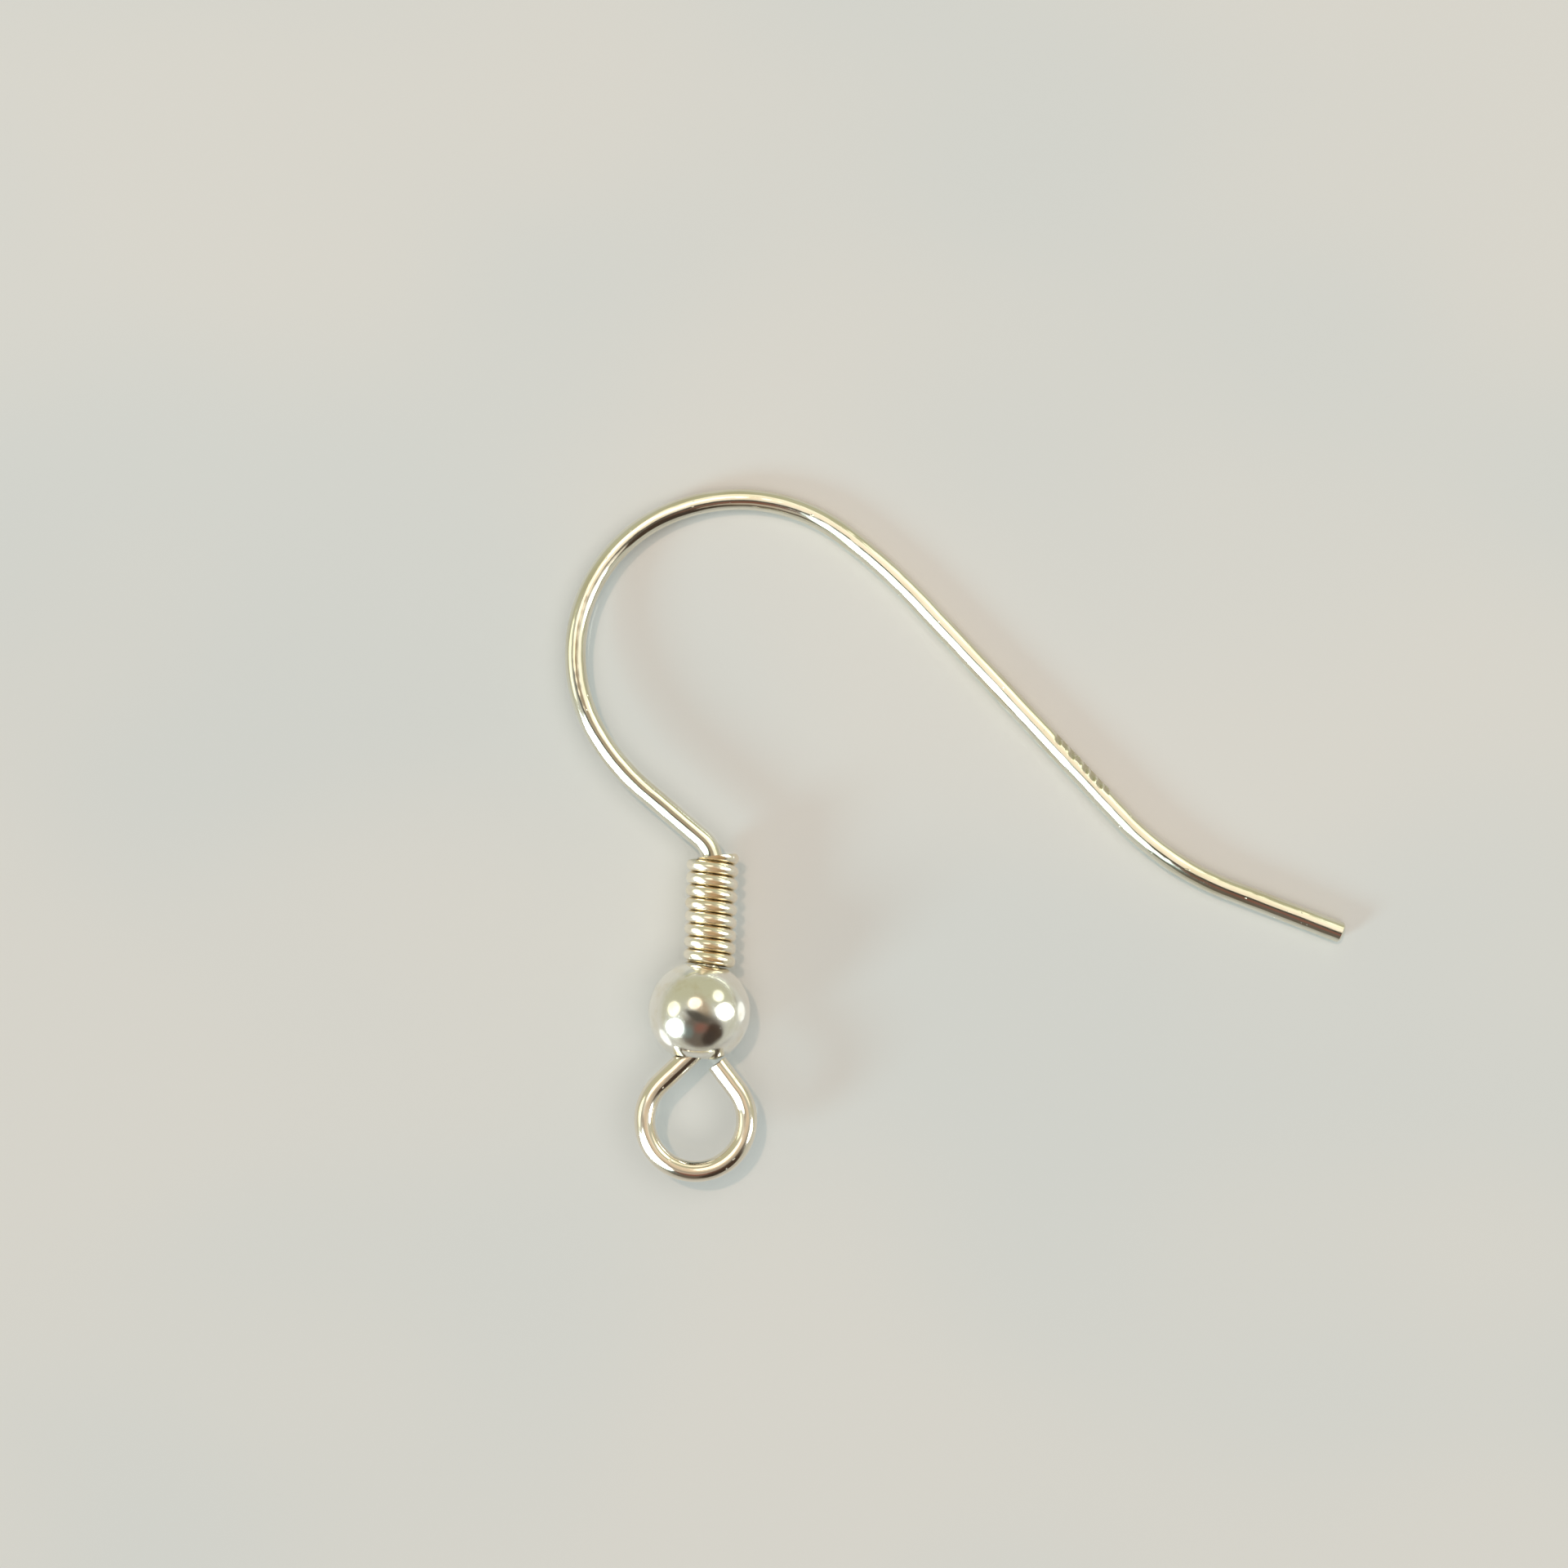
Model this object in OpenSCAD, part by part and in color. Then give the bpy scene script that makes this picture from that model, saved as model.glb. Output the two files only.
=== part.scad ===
/* [Wire] */
// Thickness of the hook's wire
wire_d = 0.64; // [0.5:0.02:0.8]
// Bevel around the cut end of the tail
tip_bevel = 0.06; // [0.02:0.01:0.12]

/* [Hook] */
// Straight arm that rises from the coil
arm_len = 2.3; // [1.5:0.1:4]
// Radius of the crook between the coil and the arm
crook_r = 0.95; // [0.8:0.05:1.4]
// Turn of the crook, in degrees
crook_turn = 51.5; // [40:0.5:60]
// Radius where the arm sweeps up into the hook's side
sweep_r = 6.8; // [5:0.1:9]
// Turn of that sweep, in degrees
sweep_turn = 17; // [10:0.5:24]
// Radius of the hook's side
side_r = 4.76; // [4:0.02:5.6]
// Turn of the hook's side, in degrees
side_turn = 104; // [94:0.5:112]
// Radius of the arch that hangs in the ear
arch_r = 5.35; // [4.5:0.05:6.5]
// Turn of the arch, in degrees
arch_turn = 56; // [48:0.5:64]
// Radius of the slack shoulder between the arch and the tail
shoulder_r = 18.9; // [14:0.1:24]
// Turn of the shoulder, in degrees
shoulder_turn = 9.4; // [6:0.1:14]

/* [Tail] */
// Straight length of the tail
tail_len = 9; // [6:0.05:12]
// Radius of the kick near the tail's end
kick_r = 8.7; // [5:0.1:12]
// Outward turn of the kick, in degrees
kick_turn = 26; // [16:0.5:34]
// Straight tip behind the kick
tip_len = 3.78; // [2:0.02:6]

/* [Eye] */
// Clear opening of the eye
eye_bore = 2.46; // [2:0.02:3]
// Straight leg between the neck and the eye
leg_len = 1.4; // [1.2:0.05:1.8]
// Radius of the neck bend, inside the bead's lower hole
neck_r = 1.2; // [1:0.05:1.5]
// Turn of the neck bend, in degrees
neck_turn = 45; // [38:0.5:50]
// Turn of the wire round the eye, in degrees
eye_turn = 264; // [258:0.5:268]

/* [Bead] */
// Diameter of the bead
bead_d = 3.1; // [2.8:0.05:3.6]
// Wall of the hollow bead
bead_wall = 0.3; // [0.2:0.05:0.5]
// Play of the wire all round in the bead's hole
bead_play = 0.28; // [0.24:0.01:0.36]
// Flare of the lips of the hole
lip_flare = 0.08; // [0.04:0.01:0.12]
// Tilt of the loose bead on the wire, in degrees
bead_tilt = 5; // [0:0.5:7]

/* [Coil] */
// Length of the coil between its two flush cuts
coil_len = 3.32; // [2:0.02:5]
// Thickness of the coil's wire
coil_wire_d = 0.38; // [0.3:0.01:0.46]
// Play of the hook's wire all round inside the coil
coil_play = 0.1; // [0.07:0.01:0.16]
// Gap between two turns of the coil
turn_gap = 0.012; // [0.01:0.002:0.04]

/* [Fit] */
// Gap kept where two loose pieces touch
touch = 0.03; // [0.02:0.005:0.05]
// Sideways gap between the neck and the bead's lower lip
neck_gap = 0.12; // [0.06:0.01:0.2]

/* [Hidden] */

$fn = 96;
silver = [0.80, 0.79, 0.74];
wire_r = wire_d / 2;

// Each straight ends a little way inside the bends beside it, which are a hair thicker than the straights.
// Two bends that follow each other have a short straight between them.
bite = 0.04;
bend_swell = 0.002;
stub = 0.1;

// The shank stands up the frame's Y axis, and leans this many degrees to the right
shank_lean = 2;

// The bead hangs against one side of the wire, and the coil stands on its upper lip
bead_r = bead_d / 2;
hole_r = wire_r + bead_play;
lip_r = hole_r + lip_flare;
lip_z = sqrt(bead_r * bead_r - lip_r * lip_r);
bead_shift = bead_play - touch;
coil_seat = lip_z * cos(bead_tilt) + lip_r * sin(bead_tilt) + touch;

// The crook starts inside the coil, as deep as the play lets its inner edge turn away
crook_room = coil_play - touch;
crook_sink = sqrt(crook_room * (2 * (crook_r - wire_r) - crook_room));
shank_up = coil_seat + coil_len - crook_sink;

// The neck starts inside the bead, so high that its inner edge passes the lower lip with its gap
lower_lip = lip_z * cos(bead_tilt) - lip_r * sin(bead_tilt);
lip_side = bead_shift + lip_r * cos(bead_tilt) + lip_z * sin(bead_tilt) - neck_gap;
neck_edge_r = neck_r - wire_r;
neck_out = neck_r - neck_edge_r * cos(neck_turn);
neck_start = lower_lip - neck_edge_r * sin(neck_turn) - (lip_side - neck_out) / tan(neck_turn);

// The wire lies in one plane. A pose is [x, y, heading], and the shank passes the bead's middle at [0, 0].
// A run is [straight length, radius of the bend after it, turn to the left in degrees].
function along(pose, len) = [pose.x + len * cos(pose.z), pose.y + len * sin(pose.z), pose.z];
function hub(pose, bend_r, turn) =
    let (side = sign(turn) * bend_r)
    [pose.x - side * sin(pose.z), pose.y + side * cos(pose.z)];
function bent(pose, bend_r, turn) =
    let (c = hub(pose, bend_r, turn), side = sign(turn) * bend_r, h = pose.z + turn)
    [c.x + side * sin(h), c.y - side * cos(h), h];
function after(pose, run) = bent(along(pose, run[0]), run[1], run[2]);
function poses(pose, runs, i = 0) =
    i == len(runs) ? [pose] : concat([pose], poses(after(pose, runs[i]), runs, i + 1));

// Upwards from the neck: shank, crook, arm, hook and tail
up_start = along([0, 0, 90 - shank_lean], -neck_start);
UP_RUNS = [
    [neck_start + shank_up, crook_r, crook_turn],
    [arm_len, sweep_r, -sweep_turn],
    [stub, side_r, -side_turn],
    [stub, arch_r, -arch_turn],
    [stub, shoulder_r, -shoulder_turn],
    [tail_len, kick_r, kick_turn],
];
up_poses = poses(up_start, UP_RUNS);
tip_start = up_poses[len(UP_RUNS)];
tip = along(tip_start, tip_len);

// Downwards from the same point: neck, leg and eye
eye_r = (eye_bore + wire_d) / 2;
down_start = [up_start.x, up_start.y, up_start.z - 180];
DOWN_RUNS = [
    [0, neck_r, -neck_turn],
    [leg_len, eye_r, eye_turn],
];
down_poses = poses(down_start, DOWN_RUNS);

// The free end rises from the eye until the edge of its cut all but touches the bead
free_start = down_poses[len(DOWN_RUNS)];
bead_mid = [bead_shift * cos(180 - shank_lean), bead_shift * sin(180 - shank_lean)];
cut_edge = [free_start.x + wire_r * sin(free_start.z), free_start.y - wire_r * cos(free_start.z)];
to_bead = bead_mid - cut_edge;
nearest = to_bead * [cos(free_start.z), sin(free_start.z)];
reach = bead_r + touch;
free_len = nearest - sqrt(nearest * nearest - to_bead * to_bead + reach * reach);

// The hook lies on its bead, its shoulder and its tip. From the tip, the shoulder is the point of the wire
// that is turned furthest away from the bead, and the line between the two stays level.
function bend_points(pose, run) =
    [for (a = [0 : 2 : abs(run[2])]) bent(along(pose, run[0]), run[1], sign(run[2]) * a)];
hook_points = [for (i = [0 : len(UP_RUNS) - 1]) each bend_points(up_poses[i], UP_RUNS[i])];
eye_points = [for (i = [0 : len(DOWN_RUNS) - 1]) each bend_points(down_poses[i], DOWN_RUNS[i])];
level = min([for (p = hook_points) atan2(p.y - tip.y, p.x - tip.x)]);
function off_level(p) = (p.y - tip.y) * cos(level) - (p.x - tip.x) * sin(level);
tilt = asin((bead_r - wire_r) / off_level(bead_mid));

// Where a point of the wire's plane comes to lie, before the box is centred
function lying(p) =
    let (d = off_level(p), back = d * (1 - cos(tilt)))
    [p.x + back * sin(level), p.y - back * cos(level), wire_r + d * sin(tilt)];

// The box round both edges of the wire gives the centre
function edges(pose, r) =
    [for (side = [-r, r]) lying([pose.x + side * sin(pose.z), pose.y - side * cos(pose.z)])];
lying_points = concat(
    [for (p = concat(hook_points, eye_points, [along(tip, -tip_bevel)])) each edges(p, wire_r)],
    edges(tip, wire_r - tip_bevel));
xs = [for (p = lying_points) p.x];
ys = [for (p = lying_points) p.y];
centre = [(min(xs) + max(xs)) / 2, (min(ys) + max(ys)) / 2];

// Coil: its turns fall from left to right in front, and both ends are cut flush
coil_wire_r = coil_wire_d / 2;
coil_mean_r = wire_r + coil_play + coil_wire_r;
coil_pitch = coil_wire_d + turn_gap;
// Each end runs on past its cut by this part of a turn
end_lap = 0.08;
COIL_STEPS = 28;
COIL_SIDES = 10;

// Puts a piece that is drawn in the wire's plane down as it lies
module lie() {
    translate([-centre.x, -centre.y, wire_r])
        translate([tip.x, tip.y, 0])
            rotate(level)
                rotate([tilt, 0, 0])
                    rotate(-level)
                        translate([-tip.x, -tip.y, 0])
                            children();
}

// Turns a piece that is drawn along Z so that it stands along a pose's heading
module set_along(pose) {
    translate([pose.x, pose.y, 0])
        rotate(pose.z)
            rotate([0, 90, 0])
                children();
}

module straight(pose, first, last) {
    set_along(along(pose, first))
        cylinder(r = wire_r, h = last - first);
}

module bend(pose, bend_r, turn) {
    c = hub(pose, bend_r, turn);
    first = turn > 0 ? pose.z - 90 : pose.z + 90 + turn;
    translate([c.x, c.y, 0])
        rotate(first)
            rotate_extrude(angle = abs(turn))
                translate([bend_r, 0])
                    circle(r = wire_r + bend_swell);
}

module run(pose, run) {
    if (run[0] > 0)
        straight(pose, -bite, run[0] + bite);
    bend(along(pose, run[0]), run[1], run[2]);
}

module tail_tip() {
    set_along(tip_start)
        rotate_extrude()
            polygon([
                [0, -bite],
                [wire_r, -bite],
                [wire_r, tip_len - tip_bevel],
                [wire_r - tip_bevel, tip_len],
                [0, tip_len],
            ]);
}

module hook_wire() {
    color(silver)
        lie() {
            for (i = [0 : len(UP_RUNS) - 1])
                run(up_poses[i], UP_RUNS[i]);
            tail_tip();
            for (i = [0 : len(DOWN_RUNS) - 1])
                run(down_poses[i], DOWN_RUNS[i]);
            straight(free_start, -bite, free_len);
        }
}

// One ring of the coil's wire, this many turns below the upper cut
function coil_ring(turns) =
    let (a = 360 * turns - 90, z = coil_len - coil_pitch * turns)
    [for (k = [0 : COIL_SIDES - 1])
        let (b = 360 * (k + 0.5) / COIL_SIDES, r = coil_mean_r + coil_wire_r * cos(b))
        [r * cos(a), r * sin(a), min(max(z + coil_wire_r * sin(b), 0), coil_len)]];

module coil_turns() {
    turns = coil_len / coil_pitch + 2 * end_lap;
    rings = ceil(turns * COIL_STEPS);
    points = [for (i = [0 : rings]) each coil_ring(turns * i / rings - end_lap)];
    function at(ring, k) = ring * COIL_SIDES + k % COIL_SIDES;
    skin = [for (i = [0 : rings - 1], k = [0 : COIL_SIDES - 1])
        each [[at(i, k), at(i + 1, k), at(i + 1, k + 1)], [at(i, k), at(i + 1, k + 1), at(i, k + 1)]]];
    // Each cap is a fan from its corner farthest from the flush cut
    low = floor(0.75 * COIL_SIDES);
    high = floor(0.25 * COIL_SIDES);
    first_cap = [for (k = [1 : COIL_SIDES - 2]) [at(0, low), at(0, low + k), at(0, low + k + 1)]];
    last_cap = [for (k = [1 : COIL_SIDES - 2]) [at(rings, high), at(rings, high + k + 1), at(rings, high + k)]];
    polyhedron(points, concat(skin, first_cap, last_cap));
}

module coil() {
    color(silver)
        lie()
            rotate(-shank_lean)
                translate([0, coil_seat, 0])
                    rotate([-90, 0, 0])
                        coil_turns();
}

module bead() {
    color(silver)
        lie()
            translate([bead_mid.x, bead_mid.y, 0])
                rotate(-shank_lean - bead_tilt)
                    rotate([-90, 0, 0])
                        difference() {
                            sphere(r = bead_r);
                            sphere(r = bead_r - bead_wall);
                            cylinder(r = hole_r, h = 2 * bead_d, center = true);
                            for (end = [0, 1])
                                mirror([0, 0, end])
                                    translate([0, 0, lip_z - lip_flare])
                                        cylinder(r1 = hole_r, r2 = hole_r + 3 * lip_flare, h = 3 * lip_flare);
                        }
}

hook_wire();
coil();
bead();
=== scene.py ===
# %% [markdown]
# # A fish-hook ear wire, modelled and silver-plated
# The real finding is three pieces of plated brass: one bent wire, a small coil wound on it, and a
# hollow bead that hangs between the coil and the eye. The frame that is loaded here holds plain solids
# of the same three pieces, in metres. Each one is modelled again with its fine shapes, and put exactly
# where its solid lies, so the lesson never has to guess a place.

# %% Load the frame
from math import atan2, cos, degrees, hypot, pi, radians, sin, sqrt, tan

import bmesh
import bpy
from mathutils import Matrix, Vector


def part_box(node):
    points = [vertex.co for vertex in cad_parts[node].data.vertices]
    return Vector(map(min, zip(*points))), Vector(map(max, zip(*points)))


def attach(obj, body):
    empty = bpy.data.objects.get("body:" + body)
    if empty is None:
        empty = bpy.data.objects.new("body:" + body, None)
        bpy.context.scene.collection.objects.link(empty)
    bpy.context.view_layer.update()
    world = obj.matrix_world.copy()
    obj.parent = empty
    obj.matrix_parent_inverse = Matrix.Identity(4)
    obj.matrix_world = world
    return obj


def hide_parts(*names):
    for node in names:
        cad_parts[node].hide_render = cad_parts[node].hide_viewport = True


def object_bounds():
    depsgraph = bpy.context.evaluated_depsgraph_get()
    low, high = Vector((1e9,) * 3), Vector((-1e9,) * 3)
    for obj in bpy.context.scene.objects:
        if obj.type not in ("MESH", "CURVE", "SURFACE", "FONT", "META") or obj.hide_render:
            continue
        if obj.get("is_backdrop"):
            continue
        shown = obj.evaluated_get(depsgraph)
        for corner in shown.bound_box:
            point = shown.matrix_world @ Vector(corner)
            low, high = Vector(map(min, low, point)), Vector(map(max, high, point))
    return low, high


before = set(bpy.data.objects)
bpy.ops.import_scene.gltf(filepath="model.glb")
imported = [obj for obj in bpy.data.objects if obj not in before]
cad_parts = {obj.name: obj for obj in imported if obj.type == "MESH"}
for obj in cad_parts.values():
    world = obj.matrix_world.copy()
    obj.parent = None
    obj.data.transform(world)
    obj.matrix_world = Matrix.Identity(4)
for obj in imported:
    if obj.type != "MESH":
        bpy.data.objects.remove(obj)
CAD_BOX = [list(corner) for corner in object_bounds()]
print("solids:", sorted(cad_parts))

# %% [markdown]
# ## Sizes
# A maker of findings thinks in wire gauges and mandrel sizes, so the sizes are named that way and given
# in millimetres. Blender works in metres, and MM turns one into the other.

# %% Sizes of the three pieces
MM = 0.001
WIRE_R = 0.32 * MM
TIP_BEVEL = 0.06 * MM
BEAD_R = 1.55 * MM
BEAD_WALL = 0.3 * MM
BEAD_TILT = radians(5)
HOLE_R = 0.6 * MM
LIP_FLARE = 0.08 * MM
LIP_R = HOLE_R + LIP_FLARE
LIP_Z = sqrt(BEAD_R ** 2 - LIP_R ** 2)
SHANK_LEAN = radians(2)
TOUCH = 0.03 * MM
BEAD_SHIFT = 0.25 * MM
COIL_WIRE_R = 0.19 * MM
COIL_MEAN_R = 0.61 * MM
COIL_PITCH = 0.392 * MM
COIL_SEAT = LIP_Z * cos(BEAD_TILT) + LIP_R * sin(BEAD_TILT) + TOUCH
print("coil stands", round(COIL_SEAT / MM, 3), "mm above the bead's middle")

# %% [markdown]
# ## The path of the wire
# The wire was bent round a few round pegs, so its middle line is only straights and arcs. It is written
# as a walk: go ahead some way, then turn round a peg of some radius. The same list later drives the
# modelling tools, and it also gives every point of the wire its place along the unbent wire, which the
# plating needs. The walk starts at the free end of the eye and ends at the tip of the tail. The first
# three lengths have so many digits because they follow from other sizes: the neck starts a little
# inside the bead, the crook a little inside the coil, and the free end stops TOUCH short of the bead.

# %% The walk from the eye to the tip
NECK_START = 0.354991 * MM
SHANK_UP = 4.50822 * MM
FREE_LEN = 0.991576 * MM
EYE_R = 1.55 * MM
EYE_TURN = 264
LEG_LEN = 1.4 * MM
NECK_R = 1.2 * MM
NECK_TURN = 45
WALK = [
    # name, way ahead, radius of the peg, turn in degrees with left positive
    ("free end and eye", FREE_LEN, EYE_R, -EYE_TURN),
    ("leg and neck", LEG_LEN, NECK_R, NECK_TURN),
    ("shank and crook", NECK_START + SHANK_UP, 0.95 * MM, 51.5),
    ("arm and sweep", 2.3 * MM, 6.8 * MM, -17),
    ("side", 0.1 * MM, 4.76 * MM, -104),
    ("arch", 0.1 * MM, 5.35 * MM, -56),
    ("shoulder", 0.1 * MM, 18.9 * MM, -9.4),
    ("tail and kick", 9.0 * MM, 8.7 * MM, 26),
    ("tip", 3.78 * MM, 0, 0),
]
print("the walk has", len(WALK), "legs")

# %% Going ahead and round a peg


def ahead(place, heading, way):
    return place + way * Vector((cos(heading), sin(heading), 0))


def peg(place, heading, bend_r, turn):
    side = bend_r if turn > 0 else -bend_r
    return place + side * Vector((-sin(heading), cos(heading), 0))


def round_peg(place, heading, bend_r, turn):
    centre = peg(place, heading, bend_r, turn)
    moved = Matrix.Rotation(radians(turn), 3, "Z") @ (place - centre)
    return centre + moved, heading + radians(turn)


# %% [markdown]
# The frame's solids give the neck a known place: it lies on the shank's line, just below the bead's
# middle. Walking backwards from there finds where the free end has to start.

# %% Find the start of the walk
NECK = -NECK_START * Vector((sin(SHANK_LEAN), cos(SHANK_LEAN), 0))
place, heading = NECK, pi / 2 - SHANK_LEAN + pi
place, heading = round_peg(place, heading, NECK_R, -NECK_TURN)
place = ahead(place, heading, LEG_LEN)
place, heading = round_peg(place, heading, EYE_R, EYE_TURN)
START = ahead(place, heading, FREE_LEN)
START_HEADING = heading + pi

LEGS = []
place, heading = START, START_HEADING
travelled = 0.0
for name, length, bend_r, turn in WALK:
    bend_at = ahead(place, heading, length)
    LEGS.append((place, heading, length, bend_at, bend_r, turn, travelled))
    place, heading = round_peg(bend_at, heading, bend_r, turn) if bend_r else (bend_at, heading)
    travelled += length + bend_r * abs(radians(turn))
TIP, TIP_HEADING = place, heading
WIRE_LENGTH = travelled
print("wire", round(WIRE_LENGTH / MM, 2), "mm long, tip at", [round(c / MM, 3) for c in TIP])

# %% [markdown]
# ## Laying the flat drawing down
# Everything is drawn flat first, with the wire's middle line in the plane z = 0. The real hook does not
# lie flat: it rests on its bead, its shoulder and its tip. So each finished piece is turned about the
# line from the shoulder to the tip, whose bearing is LEVEL, until the bead touches the board too. Then
# CENTRE, the middle of the box round the lying hook, comes to the frame's origin. It is one matrix for
# all three pieces.

# %% One matrix lays every piece down
LEVEL = radians(141.324)
LYING_TILT = radians(4.95676)
CENTRE = Vector((7.655, 5.48169, 0)) * MM
LAY = (Matrix.Translation(Vector((0, 0, WIRE_R)) - CENTRE) @ Matrix.Translation(TIP)
       @ Matrix.Rotation(LEVEL, 4, "Z") @ Matrix.Rotation(LYING_TILT, 4, "X")
       @ Matrix.Rotation(-LEVEL, 4, "Z") @ Matrix.Translation(-TIP))


def only(piece):
    bpy.ops.object.select_all(action="DESELECT")
    piece.select_set(True)
    bpy.context.view_layer.objects.active = piece


def lay_down(piece, first=Matrix()):
    """Puts a finished piece where it lies, and leaves its object at the origin"""
    only(piece)
    piece.matrix_world = LAY @ first
    bpy.ops.object.transform_apply(location=True, rotation=True, scale=True)


print("the tip comes to", [round(c / MM, 3) for c in LAY @ TIP])

# %% [markdown]
# ## Helpers for picking
# In edit mode an operator works on all that is selected, so the points or faces are picked first. A
# helper picks them by a question about their place.

# %% Pick points by their place


def pick(piece, wanted):
    """In edit mode, selects the points whose place answers yes"""
    bpy.ops.mesh.select_all(action="DESELECT")
    bpy.ops.mesh.select_mode(type="VERT")
    shape = bmesh.from_edit_mesh(piece.data)
    for point in shape.verts:
        point.select = wanted(point.co)
    shape.select_flush_mode()
    bmesh.update_edit_mesh(piece.data)
    return sum(point.select for point in shape.verts)


def count_open_edges(piece):
    shape = bmesh.new()
    shape.from_mesh(piece.data)
    found = sum(not edge.is_manifold for edge in shape.edges)
    shape.free()
    return found


def smooth(piece, limit=32):
    only(piece)
    bpy.ops.object.shade_smooth_by_angle(angle=radians(limit))


# %% [markdown]
# ## The hook wire
# A curve with a round bevel would be quicker, but it gives no say over where the rings of points lie,
# and the tail needs close rings for its nicks. So the wire is made as a bender would: a filled disc is
# the cut end, extrude pushes it along each straight, and spin swings it round each peg.

# %% Cut end of the wire
WIRE_SIDES = 32
END_BEVEL = 0.02 * MM
bpy.ops.object.select_all(action="DESELECT")
bpy.ops.mesh.primitive_circle_add(
    vertices=WIRE_SIDES, radius=WIRE_R - END_BEVEL, fill_type="NGON", location=START,
    rotation=(pi / 2, 0, START_HEADING + pi / 2))
hook = bpy.context.object
hook.name = "bent_wire"
bpy.ops.object.transform_apply(location=True, rotation=True, scale=True)
print("cut end:", len(hook.data.vertices), "points round it")

# %% Pushing the end ahead, and swelling it


def push(heading, way, steps=1):
    step = way / steps * Vector((cos(heading), sin(heading), 0))
    for _ in range(steps):
        bpy.ops.mesh.extrude_region_move(TRANSFORM_OT_translate={"value": step})


def swell(middle, factor):
    bpy.ops.transform.resize(value=(factor,) * 3, center_override=middle)


# %% Push and swing the wire along its walk
COARSE = 0.5 * MM
FINE = 0.045 * MM
NICKS_FROM = 5.7 * MM
NICKS_TO = 8.4 * MM
BEND_STEP = 0.13 * MM
FREE_END_STEPS = 2
TAIL_STEPS = 12
TIP_STEPS = 8
FEWEST_SWINGS = 4
SAME_POINT = 1e-7
bpy.ops.object.mode_set(mode="EDIT")
bpy.ops.mesh.select_all(action="SELECT")
push(START_HEADING, END_BEVEL)
swell(ahead(START, START_HEADING, END_BEVEL), WIRE_R / (WIRE_R - END_BEVEL))
for (name, length, bend_r, turn), (_, heading, _, bend_at, _, _, _) in zip(WALK, LEGS):
    if name == "free end and eye":
        push(heading, length - END_BEVEL, FREE_END_STEPS)
    elif name == "tail and kick":
        push(heading, NICKS_FROM, TAIL_STEPS)
        push(heading, NICKS_TO - NICKS_FROM, round((NICKS_TO - NICKS_FROM) / FINE))
        push(heading, length - NICKS_TO)
    elif name == "tip":
        push(heading, length - TIP_BEVEL, TIP_STEPS)
    else:
        push(heading, length, max(1, round(length / COARSE)))
    if bend_r:
        swings = max(FEWEST_SWINGS, round(bend_r * abs(radians(turn)) / BEND_STEP))
        bpy.ops.mesh.spin(steps=swings, angle=-radians(turn), axis=(0, 0, 1),
                          center=peg(bend_at, heading, bend_r, turn))
push(TIP_HEADING, TIP_BEVEL)
swell(TIP, (WIRE_R - TIP_BEVEL) / WIRE_R)
bpy.ops.mesh.select_all(action="SELECT")
bpy.ops.mesh.remove_doubles(threshold=SAME_POINT)
bpy.ops.mesh.normals_make_consistent(inside=False)
bpy.ops.object.mode_set(mode="OBJECT")
print("wire:", len(hook.data.polygons), "faces,", count_open_edges(hook), "open edges")

# %% [markdown]
# ## The place along the unbent wire
# Drawing through a die leaves fine lines along the wire, and they bend with it. No flat projection can
# follow them. So each point gets an attribute that says where it was on the straight wire, before the
# bending: how far along, and where on the round section. The plating reads it in place of a UV map, and
# it has no seam.

# %% Find where a point was before the bending
BEFORE_BEND = 0.3


def unbent(point):
    """The place of a point of the flat wire on the straight wire

    Of all straights and bends the nearest one counts. In a bend, an angle that is more than
    BEFORE_BEND behind its start belongs to a point past the half turn.
    """
    best = None
    for place, heading, length, bend_at, bend_r, turn, start in LEGS:
        way = Vector((cos(heading), sin(heading), 0))
        left = Vector((-sin(heading), cos(heading), 0))
        along = (point - place).dot(way)
        off = (point - place).dot(left)
        miss = abs(off) + max(0, -along, along - length)
        if best is None or miss < best[0]:
            best = (miss, start + along, off)
        if not bend_r:
            continue
        centre = peg(bend_at, heading, bend_r, turn)
        side = 1 if turn > 0 else -1
        spoke = point - centre
        first = bend_at - centre
        crossed = first.x * spoke.y - first.y * spoke.x
        swung = side * atan2(crossed, first.x * spoke.x + first.y * spoke.y)
        if swung < -BEFORE_BEND:
            swung += 2 * pi
        over = max(0, -swung, swung - abs(radians(turn)))
        off = side * (bend_r - hypot(spoke.x, spoke.y))
        miss = abs(off) + over * bend_r
        if miss < best[0]:
            best = (miss, start + length + bend_r * swung, off)
    return Vector((best[1], best[2], point.z))


# %% Store it on every point of the wire


def store_unbent(piece, places):
    record = piece.data.attributes.new("unbent", "FLOAT_VECTOR", "POINT")
    record.data.foreach_set("vector", [value for place in places for value in place])


HOOK_UNBENT = [unbent(point.co) for point in hook.data.vertices]
store_unbent(hook, HOOK_UNBENT)
print("unbent wire runs from", round(min(p.x for p in HOOK_UNBENT) / MM, 2),
      "to", round(max(p.x for p in HOOK_UNBENT) / MM, 2), "mm")

# %% [markdown]
# ## The nicks on the tail
# Pliers left a short row of bite marks on the tail's outer edge. Each is a shallow dent that runs
# slantwise over the edge. They could be painted as bump, but they show as notches, so they are pressed
# into the mesh: the points under each tooth of the pliers are picked and pushed towards the middle of
# the wire, first a wide patch and then a narrower one inside it. Both presses go equally deep, so the
# middle of a nick ends up twice as deep as its PRESS_DEPTHS.

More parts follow.
